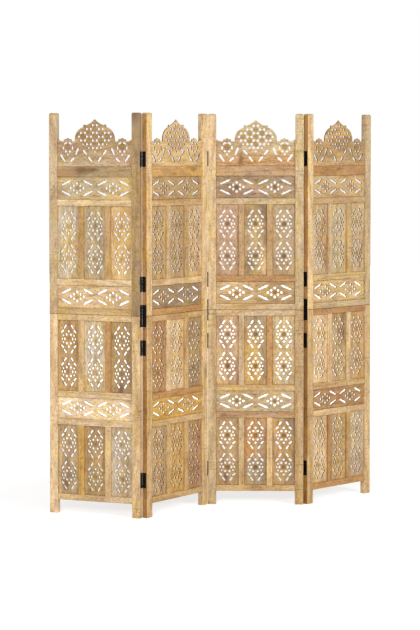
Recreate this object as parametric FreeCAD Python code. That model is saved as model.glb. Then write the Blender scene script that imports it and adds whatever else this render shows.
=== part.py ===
import FreeCAD
import Part
import math
import os

os.makedirs("parts", exist_ok=True)

# Folding screen of four hinged panels in pierced and carved wood, in millimetres.
# Each panel is two frames, one standing on the other. Built at the folds it stands in:
# X runs along the row, Y to the back, Z up, origin under the middle of the footprint.

# Folds, in degrees: the turn from one panel to the next, positive where the backs close up
fold_turns = (72.8, -53.5, 45.9)

# Frame members
post_width = 35.0
frame_thickness = 24.0
opening_width = 333.0
mullion_width = 24.0
rail_height = 25.0
crest_rail_height = 40.0
arris_radius = 0.6
post_top_radius = 8.0

# Heights of the openings, from the floor up
foot_height = 57.0
bottom_slat_opening = 286.0
lower_frieze_opening = 90.0
middle_slat_opening = 292.0
upper_frieze_opening = 95.0
top_slat_opening = 300.0
post_rise_over_crest_rail = 220.0

# Boards and the joints that hold them
board_thickness = 5.0
board_recess = 7.0
tongue_depth = 5.0
groove_float = 1.0
tenon_length = 12.0
tenon_thickness = 8.0
fit_clearance = 0.1
dowel_diameter = 8.0
dowel_length = 30.0
dowel_end_clearance = 0.5
dowel_place_shares = (0.2, 0.8)

# Piercing of a slat: two units, one over the other
slat_count = 3
slat_unit_pitch = 135.0
slat_slash_width = 8.0
# Round holes: across and up from the unit's middle, then width and height, mirrored both ways
slat_hole_shares = (
    (0.185, 0.0, 0.084, 0.096),
    (0.100, 0.133, 0.104, 0.072),
    (0.0, 0.235, 0.102, 0.073),
    (0.310, 0.0, 0.074, 0.068),
    (0.250, 0.100, 0.076, 0.060),
)
# Slashes: from and to, mirrored both ways
slat_slash_shares = (
    (0.220, 0.315, 0.092, 0.437),
    (0.360, 0.185, 0.215, 0.274),
)

# Piercing of a frieze: two units side by side
frieze_slash_width = 8.6
frieze_pitch_share = 0.482
frieze_hole_shares = (
    (0.0, 0.200, 0.068, 0.120),
    (0.179, 0.0, 0.067, 0.119),
    (0.090, 0.098, 0.056, 0.121),
)
frieze_slash_shares = ((0.440, 0.118, 0.148, 0.333),)

# Outline of a slash along its length and across its width, barbed on both sides
slash_outline_shares = (
    (0.0, 0.0),
    (0.08, 0.42),
    (0.28, 0.34),
    (0.34, 0.58),
    (0.52, 0.42),
    (0.60, 0.62),
    (0.84, 0.46),
    (1.0, 0.10),
    (0.82, -0.24),
    (0.68, -0.60),
    (0.58, -0.34),
    (0.34, -0.40),
    (0.12, -0.36),
)

# Crest board: a pointed dome between two small arches
crest_height = 194.0
crest_slash_width = 9.5
crest_ear_share = (1.0, 0.582)
crest_shoulder_shares = ((0.91, 0.541), (0.838, 0.536))
# Three scallops, each from a place through its top to the next
crest_arch_shares = (
    (0.832, 0.552),
    (0.812, 0.583),
    (0.771, 0.579),
    (0.727, 0.606),
    (0.683, 0.579),
    (0.642, 0.583),
    (0.622, 0.552),
)
crest_valley_shares = ((0.616, 0.536), (0.533, 0.536))
crest_lobe_shares = ((0.533, 0.590), (0.452, 0.757), (0.297, 0.838))
crest_knob_shares = ((0.281, 0.889), (0.240, 0.872))
crest_ogee_shares = ((0.125, 0.915), (0.0, 1.0))
crest_slash_shares = (
    (0.794, 0.098, 0.933, 0.278),
    (0.521, 0.242, 0.430, 0.412),
    (0.667, 0.103, 0.539, 0.191),
    (0.212, 0.253, 0.315, 0.361),
    (0.073, 0.098, 0.176, 0.222),
)
# Lattice in the dome: holes at the corners of nine cells, and smaller ones along its lower edge
lattice_middle_share = 0.634
lattice_cell_share = 0.106
lattice_row_share = 0.0797
lattice_reach_share = 0.336
lattice_nose_share = 0.158
lattice_border_hole_share = 0.44
lattice_cells = ((0, -2), (0, 0), (0, 2), (1, -1), (1, 1), (2, 0))
lattice_border = ((2, -2), (1, -3), (0, -4))
# Rosette under each small arch: arcs above it, then round holes about and below it
rosette_place_share = (0.727, 0.411)
rosette_radius_share = 0.117
rosette_slot_share = 0.34
rosette_arcs = ((35.0, 80.0), (100.0, 145.0))
rosette_hole_shares = (
    (1.06, -0.15, 0.40, 0.84),
    (0.47, -0.90, 0.54, 0.46),
    (0.0, -1.55, 0.43, 0.50),
)

# Butt hinges: leaves let into the side faces of the posts, barrel in a hollow at their corners
side_gap = 0.6
axis_offset = 0.1
barrel_diameter = 5.0
pin_diameter = 2.0
pin_clearance = 0.1
leaf_thickness = 1.2
leaf_corner_radius = 1.5
knuckle_count = 5
knuckle_clearance = 0.3
small_hinge_length = 63.0
small_hinge_reach = 20.0
small_hinge_height_shares = (0.093, 0.421, 0.578, 0.886)
small_screw_shares = (-0.3, 0.3)
split_hinge_length = 90.0
split_hinge_reach = 22.0
split_screw_shares = (-0.38, -0.15, 0.15, 0.38)
screw_diameter = 2.8
screw_head_diameter = 5.0
screw_head_depth = 1.0
screw_depth_in_post = 13.0
screw_point_length = 3.0
screw_clearance = 0.08

# How far a cut passes the face that it opens, and how near counts as the same place
overrun = 1.0
match_tolerance = 0.001

# Worked out from the sizes above
panel_width = opening_width + 2 * post_width
slat_width = (opening_width - (slat_count - 1) * mullion_width) / slat_count
groove_depth = tongue_depth + groove_float
groove_width = board_thickness + 2 * fit_clearance
groove_front = board_recess - fit_clearance
tenon_front = (frame_thickness - tenon_thickness) / 2
barrel_radius = barrel_diameter / 2
bore_radius = pin_diameter / 2 + pin_clearance
leaf_edge = barrel_radius + knuckle_clearance
panel_total = len(fold_turns) + 1

X_AXIS = FreeCAD.Vector(1, 0, 0)
Y_AXIS = FreeCAD.Vector(0, 1, 0)
Z_AXIS = FreeCAD.Vector(0, 0, 1)
ORIGIN = FreeCAD.Vector(0, 0, 0)


def stack(start, heights):
    """Height of each level, from the start up through the given heights."""
    levels = [start]
    for height in heights:
        levels.append(levels[-1] + height)
    return levels


# Levels: below and above every rail, frame by frame
lower_levels = stack(
    foot_height,
    (
        rail_height,
        bottom_slat_opening,
        rail_height,
        lower_frieze_opening,
        rail_height,
        middle_slat_opening,
        rail_height,
    ),
)
split_height = lower_levels[-1]
upper_levels = stack(
    split_height,
    (
        rail_height,
        upper_frieze_opening,
        rail_height,
        top_slat_opening,
        rail_height,
        upper_frieze_opening,
        crest_rail_height,
    ),
)
crest_base = upper_levels[-1]
panel_height = crest_base + post_rise_over_crest_rail
slat_spans = (
    (lower_levels[1], lower_levels[2]),
    (lower_levels[5], lower_levels[6]),
    (upper_levels[3], upper_levels[4]),
)
frieze_spans = (
    (lower_levels[3], lower_levels[4]),
    (upper_levels[1], upper_levels[2]),
    (upper_levels[5], upper_levels[6]),
)


def box(x_range, y_range, z_range):
    """Box between two places on each axis."""
    corner = FreeCAD.Vector(x_range[0], y_range[0], z_range[0])
    size = (x_range[1] - x_range[0], y_range[1] - y_range[0], z_range[1] - z_range[0])
    return Part.makeBox(size[0], size[1], size[2], corner)


def point(x, z):
    """Point on the front face of the boards."""
    return FreeCAD.Vector(x, board_recess, z)


def line(start, end):
    return Part.LineSegment(start, end).toShape()


def arc(start, middle, end):
    return Part.Arc(start, middle, end).toShape()


def eased(solid, edge_test):
    """Solid with the edges that pass the test rounded to the arris radius."""
    edges = [edge for edge in solid.Edges if edge_test(edge.BoundBox)]
    return solid.makeFillet(arris_radius, edges)


def on_front_or_back(bounds):
    flat = bounds.YMax - bounds.YMin < match_tolerance
    at_front = abs(bounds.YMin) < match_tolerance
    at_back = abs(bounds.YMax - frame_thickness) < match_tolerance
    return flat and (at_front or at_back)


def both_ways(x, z):
    """The place and its mirror images across both middle lines, each once."""
    across = (x, -x) if x else (x,)
    up = (z, -z) if z else (z,)
    return [(a, b) for a in across for b in up]


# Holes and slashes, as closed wires on the front face of a board


def oval(x, z, width, height):
    """Round hole of the given width and height about a place."""
    middle = point(x, z)
    if abs(width - height) < match_tolerance:
        return Part.Wire(Part.Circle(middle, Y_AXIS, width / 2).toShape())
    tips = [FreeCAD.Vector(width / 2, 0, 0), FreeCAD.Vector(0, 0, height / 2)]
    if height > width:
        tips.reverse()
    ellipse = Part.Ellipse(middle + tips[0], middle + tips[1], middle)
    return Part.Wire(ellipse.toShape())


def blunt_triangle(x, z, reach, nose, pointing):
    """Hole with three round noses that reach equally far; the first points at the given angle."""
    third = 120
    def at(corner, swing):
        place = math.radians(corner)
        edge = math.radians(corner + swing)
        across = (reach - nose) * math.cos(place) + nose * math.cos(edge)
        return point(x + across, z + (reach - nose) * math.sin(place) + nose * math.sin(edge))

    edges = []
    for corner in (pointing, pointing + third, pointing + 2 * third):
        edges.append(arc(at(corner, -third / 2), at(corner, 0), at(corner, third / 2)))
        edges.append(line(at(corner, third / 2), at(corner + third, -third / 2)))
    return Part.Wire(edges)


def slash(start, end, width, outer_side):
    """Barbed slash between two places; its taller barbs lie on the outer side."""
    along = (end[0] - start[0], end[1] - start[1])
    length = math.hypot(along[0], along[1])
    across = (-along[1] / length * outer_side, along[0] / length * outer_side)
    places = []
    for share_along, share_across in slash_outline_shares:
        x = start[0] + share_along * along[0] + share_across * width * across[0]
        z = start[1] + share_along * along[1] + share_across * width * across[1]
        places.append(point(x, z))
    return Part.makePolygon(places + places[:1])


def mirrored_slash(middle, start, end, width, across_sign, up_sign):
    """Slash given from the unit's middle, mirrored across and up by the signs."""
    first = (middle[0] + across_sign * start[0], middle[1] + up_sign * start[1])
    last = (middle[0] + across_sign * end[0], middle[1] + up_sign * end[1])
    return slash(first, last, width, -across_sign * up_sign)


def arc_slot(middle, radius, width, start_angle, end_angle):
    """Curved slot about a middle, between two angles in degrees."""
    def at(distance, angle):
        turn = math.radians(angle)
        x = middle[0] + distance * math.cos(turn)
        return point(x, middle[1] + distance * math.sin(turn))

    half_angle = (start_angle + end_angle) / 2
    inner = radius - width / 2
    outer = radius + width / 2
    edges = [
        arc(at(outer, start_angle), at(outer, half_angle), at(outer, end_angle)),
        line(at(outer, end_angle), at(inner, end_angle)),
        arc(at(inner, end_angle), at(inner, half_angle), at(inner, start_angle)),
        line(at(inner, start_angle), at(outer, start_angle)),
    ]
    return Part.Wire(edges)


def unit_wires(middle, span, hole_shares, slash_shares, slash_width):
    """Holes and slashes of one unit of a slat or frieze, scaled to the unit's span."""
    wires = []
    for x, z, width, height in hole_shares:
        for a, b in both_ways(x * span[0], z * span[1]):
            wires.append(oval(middle[0] + a, middle[1] + b, width * span[0], height * span[1]))
    for x0, z0, x1, z1 in slash_shares:
        start = (x0 * span[0], z0 * span[1])
        end = (x1 * span[0], z1 * span[1])
        for across_sign in (1, -1):
            for up_sign in (1, -1):
                wires.append(mirrored_slash(middle, start, end, slash_width, across_sign, up_sign))
    return wires


def pierced_board(outline, wires):
    """Board of the common thickness with the wires cut through it."""
    face = Part.makeFace([outline] + wires, "Part::FaceMakerBullseye")
    return face.extrude(FreeCAD.Vector(0, board_thickness, 0)).Solids[0]


def tongued_outline(x_range, z_range):
    """Rectangle that reaches into the grooves around an opening."""
    left = x_range[0] - tongue_depth
    right = x_range[1] + tongue_depth
    low = z_range[0] - tongue_depth
    high = z_range[1] + tongue_depth
    corners = [point(left, low), point(right, low), point(right, high), point(left, high)]
    return Part.makePolygon(corners + corners[:1])


def slat(x_range, z_range):
    """Upright board with two pierced units."""
    middle_x = (x_range[0] + x_range[1]) / 2
    middle_z = (z_range[0] + z_range[1]) / 2
    span = (slat_width, slat_unit_pitch)
    wires = []
    for side in (-1, 1):
        middle = (middle_x, middle_z + side * slat_unit_pitch / 2)
        wires += unit_wires(middle, span, slat_hole_shares, slat_slash_shares, slat_slash_width)
    return pierced_board(tongued_outline(x_range, z_range), wires)


def frieze(z_range):
    """Board across the whole opening with two pierced units."""
    x_range = (post_width, post_width + opening_width)
    middle_z = (z_range[0] + z_range[1]) / 2
    pitch = frieze_pitch_share * opening_width
    span = (pitch, z_range[1] - z_range[0])
    wires = []
    for side in (-1, 1):
        middle = (panel_width / 2 + side * pitch / 2, middle_z)
        wires += unit_wires(middle, span, frieze_hole_shares, frieze_slash_shares, frieze_slash_width)
    return pierced_board(tongued_outline(x_range, z_range), wires)


def crest_place(share, side=1):
    """Place on the crest board from its shares of half the opening and of the height."""
    x = panel_width / 2 + side * share[0] * opening_width / 2
    return (x, crest_base + share[1] * crest_height)


def crest_outline():
    """Ears at the posts, scalloped arches, and a lobed dome with a knob each side of its ogee point."""
    def half(side):
        ear = point(*crest_place(crest_ear_share, side))
        tongue_top = ear + FreeCAD.Vector(side * tongue_depth, 0, 0)
        tongue_foot = FreeCAD.Vector(tongue_top.x, tongue_top.y, crest_base - tongue_depth)
        shoulder = [point(*crest_place(share, side)) for share in crest_shoulder_shares]
        arch = [point(*crest_place(share, side)) for share in crest_arch_shares]
        valley = [point(*crest_place(share, side)) for share in crest_valley_shares]
        lobe = [point(*crest_place(share, side)) for share in crest_lobe_shares]
        knob = [point(*crest_place(share, side)) for share in crest_knob_shares]
        ogee = [point(*crest_place(share, side)) for share in crest_ogee_shares]
        edges = [
            line(tongue_foot, tongue_top),
            line(tongue_top, ear),
            line(ear, shoulder[0]),
            line(shoulder[0], shoulder[1]),
            line(shoulder[1], arch[0]),
            arc(arch[0], arch[1], arch[2]),
            arc(arch[2], arch[3], arch[4]),
            arc(arch[4], arch[5], arch[6]),
            line(arch[6], valley[0]),
            line(valley[0], valley[1]),
            line(valley[1], lobe[0]),
            arc(lobe[0], lobe[1], lobe[2]),
            arc(lobe[2], knob[0], knob[1]),
            arc(knob[1], ogee[0], ogee[1]),
        ]
        return tongue_foot, edges

    left_foot, left_edges = half(-1)
    right_foot, right_edges = half(1)
    edges = left_edges + right_edges + [line(left_foot, right_foot)]
    return Part.Wire(Part.__sortEdges__(edges))


def lattice_wires():
    """Holes of the honeycomb in the dome and along its lower edge."""
    cell = lattice_cell_share * opening_width / 2
    row = lattice_row_share * crest_height
    middle = crest_place((0.0, lattice_middle_share))
    cells = {(side * column, level) for column, level in lattice_cells for side in (1, -1)}
    # Corners of a cell in half cell widths and rows; neighbours share them
    corners = set()
    for column, level in cells:
        for across, up in ((2, 0), (-2, 0), (1, 1), (1, -1), (-1, 1), (-1, -1)):
            corners.add((3 * column + across, level + up))
    wires = []
    reach = lattice_reach_share * cell
    nose = lattice_nose_share * cell
    for across, up in sorted(corners):
        pointing = 0 if across % 3 == 2 else 180
        x = middle[0] + across * cell / 2
        wires.append(blunt_triangle(x, middle[1] + up * row, reach, nose, pointing))
    border = {(side * column, level) for column, level in lattice_border for side in (1, -1)}
    size = lattice_border_hole_share * cell
    for column, level in sorted(border):
        x = middle[0] + 3 * column * cell / 2
        wires.append(oval(x, middle[1] + level * row, size, size))
    return wires


def rosette_wires(side):
    """Slots and holes around the rosette under one small arch."""
    middle = crest_place(rosette_place_share, side)
    radius = rosette_radius_share * opening_width / 2
    wires = []
    for start_angle, end_angle in rosette_arcs:
        wires.append(arc_slot(middle, radius, rosette_slot_share * radius, start_angle, end_angle))
    for x, z, width, height in rosette_hole_shares:
        for across in ((x, -x) if x else (x,)):
            place = (middle[0] + across * radius, middle[1] + z * radius)
            wires.append(oval(place[0], place[1], width * radius, height * radius))
    return wires


def crest_board():
    wires = lattice_wires()
    for side in (-1, 1):
        wires += rosette_wires(side)
        for x0, z0, x1, z1 in crest_slash_shares:
            start = crest_place((x0, z0), side)
            end = crest_place((x1, z1), side)
            wires.append(slash(start, end, crest_slash_width, -side))
    return pierced_board(crest_outline(), wires)


# Frame members, in the frame of one panel: its left front foot corner is the origin


def post_blank(z_range, round_top):
    """Left post before its joints are cut, its front and back arrises eased."""
    low, high = z_range
    if not round_top:
        return eased(box((0, post_width), (0, frame_thickness), z_range), on_front_or_back)
    bend = post_top_radius * (1 - math.cos(math.radians(45)))
    corner = FreeCAD.Vector
    edges = [
        line(corner(0, 0, low), corner(post_width, 0, low)),
        line(corner(post_width, 0, low), corner(post_width, 0, high - post_top_radius)),
        arc(
            corner(post_width, 0, high - post_top_radius),
            corner(post_width - bend, 0, high - bend),
            corner(post_width - post_top_radius, 0, high),
        ),
        line(corner(post_width - post_top_radius, 0, high), corner(post_top_radius, 0, high)),
        arc(
            corner(post_top_radius, 0, high),
            corner(bend, 0, high - bend),
            corner(0, 0, high - post_top_radius),
        ),
        line(corner(0, 0, high - post_top_radius), corner(0, 0, low)),
    ]
    face = Part.Face(Part.Wire(edges))
    return eased(face.extrude(FreeCAD.Vector(0, frame_thickness, 0)), on_front_or_back)


def groove(x_range, z_range):
    """Cut for the edge of a board: its width and place in the thickness are common."""
    return box(x_range, (groove_front, groove_front + groove_width), z_range)


def mortise(x_range, z_range):
    """Cut for a tenon, in the middle of the thickness."""
    back = tenon_front + tenon_thickness + fit_clearance
    return box(x_range, (tenon_front - fit_clearance, back), z_range)


def tenon_range(rail):
    return (rail[0] + groove_depth, rail[1] - groove_depth)


def post(z_range, rails, board_spans, round_top, hinge_hollows, at_right_end):
    """Post with a groove for each board, a mortise for each rail, and what its hinges take out."""
    solid = post_blank(z_range, round_top)
    inner = post_width + overrun
    cuts = []
    for low, high in board_spans:
        cuts.append(groove((post_width - groove_depth, inner), (low, high)))
    for rail_range in rails:
        low, high = tenon_range(rail_range)
        span = (low - fit_clearance, high + fit_clearance)
        cuts.append(mortise((post_width - tenon_length - groove_float, inner), span))
    solid = solid.cut(Part.makeCompound(cuts)).removeSplitter()
    if at_right_end:
        solid = solid.mirror(FreeCAD.Vector(panel_width / 2, 0, 0), X_AXIS)
    if hinge_hollows:
        solid = solid.cut(Part.makeCompound(hinge_hollows))
    return solid.Solids[0]


def rail(z_range, groove_below, groove_above, dowel_face):
    """Rail between the posts, with a tenon at each end and grooves for the boards."""
    left = post_width
    right = post_width + opening_width
    solid = box((left, right), (0, frame_thickness), z_range)

    def along_the_rail(bounds):
        return on_front_or_back(bounds) and bounds.ZMax - bounds.ZMin < match_tolerance

    solid = eased(solid, along_the_rail)
    tenon = box(
        (left - tenon_length, right + tenon_length),
        (tenon_front, tenon_front + tenon_thickness),
        tenon_range(z_range),
    )
    solid = solid.fuse(tenon)
    cuts = []
    whole_length = (left - overrun, right + overrun)
    if groove_below:
        cuts.append(groove(whole_length, (z_range[0] - overrun, z_range[0] + groove_depth)))
    if groove_above:
        cuts.append(groove(whole_length, (z_range[1] - groove_depth, z_range[1] + overrun)))
    if dowel_face:
        depth = dowel_length / 2 + dowel_end_clearance
        start = split_height - overrun if dowel_face > 0 else split_height - depth
        for x in dowel_places():
            foot = FreeCAD.Vector(x, frame_thickness / 2, start)
            radius = dowel_diameter / 2 + fit_clearance
            cuts.append(Part.makeCylinder(radius, depth + overrun, foot))
    return solid.cut(Part.makeCompound(cuts)).removeSplitter().Solids[0]


def mullion(x_range, z_range):
    """Upright between two slats, grooved on both sides, its stub tenons in the rails."""
    solid = box(x_range, (0, frame_thickness), z_range)

    def along_the_mullion(bounds):
        return on_front_or_back(bounds) and bounds.XMax - bounds.XMin < match_tolerance

    solid = eased(solid, along_the_mullion)
    stub = box(
        x_range,
        (board_recess, board_recess + board_thickness),
        (z_range[0] - tongue_depth, z_range[1] + tongue_depth),
    )
    solid = solid.fuse(stub)
    past_ends = (z_range[0] - groove_depth, z_range[1] + groove_depth)
    cuts = [
        groove((x_range[0] - overrun, x_range[0] + groove_depth), past_ends),
        groove((x_range[1] - groove_depth, x_range[1] + overrun), past_ends),
    ]
    return solid.cut(Part.makeCompound(cuts)).removeSplitter().Solids[0]


def dowel_places():
    return [post_width + share * opening_width for share in dowel_place_shares]


def dowels():
    """Pins that hold the upper frame on the lower one."""
    solids = []
    for x in dowel_places():
        foot = FreeCAD.Vector(x, frame_thickness / 2, split_height - dowel_length / 2)
        solids.append(Part.makeCylinder(dowel_diameter / 2, dowel_length, foot))
    return solids


def slat_columns():
    """Left and right of each slat's opening."""
    pitch = slat_width + mullion_width
    starts = [post_width + index * pitch for index in range(slat_count)]
    return [(start, start + slat_width) for start in starts]


def mullion_columns():
    columns = slat_columns()
    return [(columns[index][1], columns[index + 1][0]) for index in range(slat_count - 1)]


# Hinges, in a frame of their own: pin on the Z axis, post beyond half the gap on the -X side,
# its face below the pin on the -Y side


def hinges():
    """Height of the middle, length, reach of the leaf and places of the screws."""
    found = [(split_height, split_hinge_length, split_hinge_reach, split_screw_shares)]
    for share in small_hinge_height_shares:
        middle = share * panel_height
        found.append((middle, small_hinge_length, small_hinge_reach, small_screw_shares))
    return found


def screw_places(middle, length, reach, screw_shares):
    """Where the screws of one leaf go in, from the pin and from the floor."""
    y = -(reach + leaf_edge) / 2
    return [(y, middle + share * length) for share in screw_shares]


def knuckle_span(middle, length, index):
    pitch = length / knuckle_count
    low = middle - length / 2 + index * pitch
    high = low + pitch
    if index > 0:
        low += knuckle_clearance / 2
    if index < knuckle_count - 1:
        high -= knuckle_clearance / 2
    return low, high


def leaf(middle, length, reach, screw_shares, first_knuckle):
    """Plate flush with the post's side face, with every other knuckle of the barrel."""
    face = -side_gap / 2
    inner = face - leaf_thickness
    z_range = (middle - length / 2, middle + length / 2)
    plate = box((inner, face), (-reach, -leaf_edge), z_range)

    def at_free_corner(bounds):
        crosses = bounds.XMax - bounds.XMin > leaf_thickness / 2
        return crosses and bounds.YMax < -reach + match_tolerance

    corners = [edge for edge in plate.Edges if at_free_corner(edge.BoundBox)]
    plate = plate.makeFillet(leaf_corner_radius, corners)
    pieces = []
    for index in range(first_knuckle, knuckle_count, 2):
        low, high = knuckle_span(middle, length, index)
        pieces.append(box((inner, face), (-leaf_edge - leaf_thickness, 0), (low, high)))
        foot = FreeCAD.Vector(0, 0, low)
        pieces.append(Part.makeCylinder(barrel_radius, high - low, foot))
    solid = plate.multiFuse(pieces)
    bore_foot = FreeCAD.Vector(0, 0, z_range[0] - overrun)
    cuts = [Part.makeCylinder(bore_radius, length + 2 * overrun, bore_foot)]
    for y, z in screw_places(middle, length, reach, screw_shares):
        cuts.append(screw(y, z, screw_clearance, overrun))
    return solid.cut(Part.makeCompound(cuts)).removeSplitter().Solids[0]


def screw(y, z, growth, head_overrun):
    """Countersunk screw driven along -X, or the space for it when grown."""
    face = -side_gap / 2
    head_radius = screw_head_diameter / 2 + growth
    shank_radius = screw_diameter / 2 + growth
    top = FreeCAD.Vector(face, y, z)
    neck = FreeCAD.Vector(face - screw_head_depth, y, z)
    shank_length = leaf_thickness - screw_head_depth + screw_depth_in_post - screw_point_length
    tip = neck - FreeCAD.Vector(shank_length, 0, 0)
    pieces = [
        Part.makeCylinder(shank_radius, shank_length, neck, -X_AXIS),
        Part.makeCone(shank_radius, 0, screw_point_length, tip, -X_AXIS),
    ]
    if head_overrun:
        pieces.append(Part.makeCylinder(head_radius, head_overrun, top, X_AXIS))
    head = Part.makeCone(head_radius, shank_radius, screw_head_depth, top, -X_AXIS)
    return head.multiFuse(pieces).removeSplitter().Solids[0]


def pin(middle, length):
    foot = FreeCAD.Vector(0, 0, middle - length / 2)
    return Part.makeCylinder(pin_diameter / 2, length, foot)


def hinge_place(at_right_end, knuckles_behind):
    """Where the pins stand in the frame of a panel."""
    x = panel_width + side_gap / 2 if at_right_end else -side_gap / 2
    y = frame_thickness + axis_offset if knuckles_behind else -axis_offset
    return FreeCAD.Vector(x, y, 0)


def on_panel(solid, at_right_end, knuckles_behind):
    """Solid of a hinge, moved from its own frame to one end of a panel."""
    if not at_right_end:
        solid = solid.mirror(ORIGIN, X_AXIS)
    if not knuckles_behind:
        solid = solid.mirror(ORIGIN, Y_AXIS)
    return solid.translated(hinge_place(at_right_end, knuckles_behind))


def screws_on_panel(at_right_end, knuckles_behind, growth):
    solids = []
    for middle, length, reach, screw_shares in hinges():
        for y, z in screw_places(middle, length, reach, screw_shares):
            solid = screw(y, z, growth, 0)
            solids.append(on_panel(solid, at_right_end, knuckles_behind))
    return solids


def hollows_on_panel(at_right_end, knuckles_behind):
    """Beds for the leaves in a post's side face, each with room for the barrel at the corner."""
    solids = []
    face = -side_gap / 2
    for middle, length, reach, _ in hinges():
        low = middle - length / 2 - fit_clearance
        high = middle + length / 2 + fit_clearance
        bed_inner = face - leaf_thickness - fit_clearance
        bed = box((bed_inner, face + overrun), (-reach - fit_clearance, 0), (low, high))
        room = Part.makeCylinder(leaf_edge, high - low, FreeCAD.Vector(0, 0, low))
        solids.append(on_panel(bed.fuse(room), at_right_end, knuckles_behind))
    return solids


def hinge_cuts(at_right_end, knuckles_behind):
    """All that one fold takes out of the posts at one end of a panel."""
    hollows = hollows_on_panel(at_right_end, knuckles_behind)
    return hollows + screws_on_panel(at_right_end, knuckles_behind, screw_clearance)


def leaves_on_panel(at_right_end, knuckles_behind):
    """Leaves of one fold on one panel; the left panel's have the outer knuckles."""
    first_knuckle = 0 if at_right_end else 1
    solids = []
    for middle, length, reach, screw_shares in hinges():
        solid = leaf(middle, length, reach, screw_shares, first_knuckle)
        solids.append(on_panel(solid, at_right_end, knuckles_behind))
    return solids


def pins_on_panel(knuckles_behind):
    solids = []
    for middle, length, _, _ in hinges():
        solids.append(on_panel(pin(middle, length), True, knuckles_behind))
    return solids


# Where the panels stand


def turned(vector, angle):
    turn = math.radians(angle)
    x = vector.x * math.cos(turn) - vector.y * math.sin(turn)
    y = vector.x * math.sin(turn) + vector.y * math.cos(turn)
    return FreeCAD.Vector(x, y, vector.z)


def chain(first_heading):
    """Heading and left front corner of each panel, from the first one at the origin."""
    heading = first_heading
    corner = ORIGIN
    found = [(heading, corner)]
    for turn in fold_turns:
        knuckles_behind = turn > 0
        axis = corner + turned(hinge_place(True, knuckles_behind), heading)
        heading += turn
        corner = axis - turned(hinge_place(False, knuckles_behind), heading)
        found.append((heading, corner))
    return found


def footprint(places):
    """Least and greatest X and Y of the posts' eased outlines."""
    insets = [
        FreeCAD.Vector(x, y, 0)
        for x in (0, panel_width)
        for y in (arris_radius, frame_thickness - arris_radius)
    ]
    xs = []
    ys = []
    for heading, corner in places:
        for inset in insets:
            middle = corner + turned(inset, heading)
            xs += [middle.x]
            ys += [middle.y]
    return (min(xs), max(xs)), (min(ys), max(ys))


def panel_places():
    """Panels with the row's two ends on a line along X and the footprint centred."""
    rough = chain(0)
    end = rough[-1][1] + turned(FreeCAD.Vector(panel_width, 0, 0), rough[-1][0])
    places = chain(-math.degrees(math.atan2(end.y, end.x)))
    x_range, y_range = footprint(places)
    shift = FreeCAD.Vector(-sum(x_range) / 2, -sum(y_range) / 2, 0)
    return [(heading, corner + shift) for heading, corner in places]


def write(name, solids, place):
    """Save the solids of one node, moved from the panel's frame to where the panel stands."""
    heading, corner = place
    placement = FreeCAD.Placement(corner, FreeCAD.Rotation(Z_AXIS, heading))
    moved = []
    for solid in solids:
        copy = solid.copy()
        copy.Placement = placement.multiply(copy.Placement)
        moved.append(copy)
    Part.makeCompound(moved).exportStep("parts/" + name + ".step")


lower_rails = [tuple(lower_levels[index:index + 2]) for index in range(0, len(lower_levels), 2)]
upper_rails = [tuple(upper_levels[index:index + 2]) for index in range(0, len(upper_levels), 2)]


def grooved_span(z_range):
    """Height that a board and its tongues take in the posts."""
    return (z_range[0] - groove_depth, z_range[1] + groove_depth)


def write_posts(name, place, cuts_left, cuts_right):
    """Four posts of one panel, cut out where they carry hinges."""
    lower_spans = [grooved_span(span) for span in slat_spans[:2] + frieze_spans[:1]]
    upper_spans = [grooved_span(span) for span in slat_spans[2:] + frieze_spans[1:]]
    ear_top = crest_place(crest_ear_share)[1] + groove_float
    upper_spans.append((crest_base - groove_depth, ear_top))
    for side, cuts, at_right_end in (("left", cuts_left, False), ("right", cuts_right, True)):
        lower = post((0, split_height), lower_rails, lower_spans, False, cuts, at_right_end)
        write(name + "_lower_" + side + "_post", [lower], place)
        upper_range = (split_height, panel_height)
        upper = post(upper_range, upper_rails, upper_spans, True, cuts, at_right_end)
        write(name + "_upper_" + side + "_post", [upper], place)


crest_solid = crest_board()
frieze_solids = [frieze(span) for span in frieze_spans]
slat_solids = [slat(column, span) for span in slat_spans for column in slat_columns()]
mullion_solids = [mullion(column, span) for span in slat_spans for column in mullion_columns()]
last_rail = len(lower_rails) - 1
lower_rail_solids = [
    rail(span, index > 0, index < last_rail, -1 if index == last_rail else 0)
    for index, span in enumerate(lower_rails)
]
upper_rail_solids = [
    rail(span, index > 0, True, 1 if index == 0 else 0)
    for index, span in enumerate(upper_rails)
]
dowel_solids = dowels()

places = panel_places()
for index in range(panel_total):
    name = "panel_" + str(index + 1)
    place = places[index]
    cuts_left = hinge_cuts(False, fold_turns[index - 1] > 0) if index > 0 else []
    cuts_right = hinge_cuts(True, fold_turns[index] > 0) if index < panel_total - 1 else []
    write_posts(name, place, cuts_left, cuts_right)
    write(name + "_crest_board", [crest_solid], place)
    write(name + "_friezes", frieze_solids, place)
    write(name + "_carved_slats", slat_solids, place)
    write(name + "_mullions", mullion_solids, place)
    write(name + "_lower_rails", lower_rail_solids, place)
    write(name + "_upper_rails", upper_rail_solids, place)
    write(name + "_dowels", dowel_solids, place)

for index, turn in enumerate(fold_turns):
    name = "fold_" + str(index + 1)
    knuckles_behind = turn > 0
    left_place = places[index]
    right_place = places[index + 1]
    write(name + "_left_leaves", leaves_on_panel(True, knuckles_behind), left_place)
    write(name + "_right_leaves", leaves_on_panel(False, knuckles_behind), right_place)
    write(name + "_pins", pins_on_panel(knuckles_behind), left_place)
    write(name + "_left_screws", screws_on_panel(True, knuckles_behind, 0), left_place)
    write(name + "_right_screws", screws_on_panel(False, knuckles_behind, 0), right_place)
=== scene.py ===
"""Looks of a carved room divider: four hinged panels of pierced mango wood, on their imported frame."""

import math
import random

import bmesh
import bpy
from mathutils import Matrix, Vector


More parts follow.
